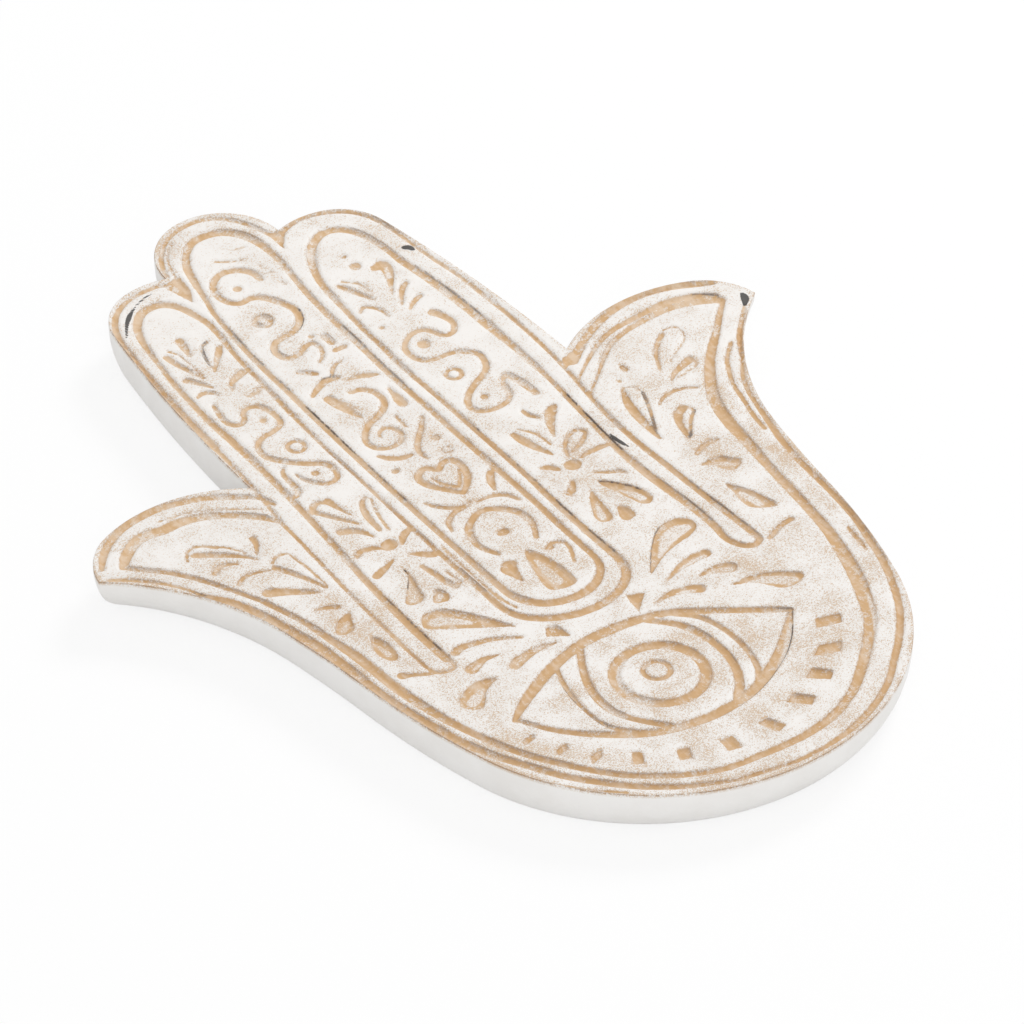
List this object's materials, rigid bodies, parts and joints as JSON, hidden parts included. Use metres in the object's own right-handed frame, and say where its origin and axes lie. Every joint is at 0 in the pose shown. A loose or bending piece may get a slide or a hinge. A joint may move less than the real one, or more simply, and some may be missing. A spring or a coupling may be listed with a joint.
{
  "type": "hamsa hand ornament",
  "caption": "Carved wooden hamsa hand wall ornament with an open eye in the palm, grooved finger panels and a keyhole hanger let into its back.",
  "frame": {"origin": "middle of the board's footprint on its back face", "axes": "+Y towards the tip of the middle finger, +Z out of the carved face, +X towards the thumb on the right as seen from the front with the fingers up"},
  "size_m": [0.226, 0.3, 0.015],
  "materials": {
    "board": "whitewashed paint, worn to tan wood in the grooves",
    "hanger": "stamped zinc-plated steel",
    "screw": "zinc-plated steel"
  },
  "bodies": {
    "root": {"hand_board": "board", "keyhole_hanger": "hanger", "hanger_screw_upper": "screw", "hanger_screw_lower": "screw"}
  },
  "joints": []
}
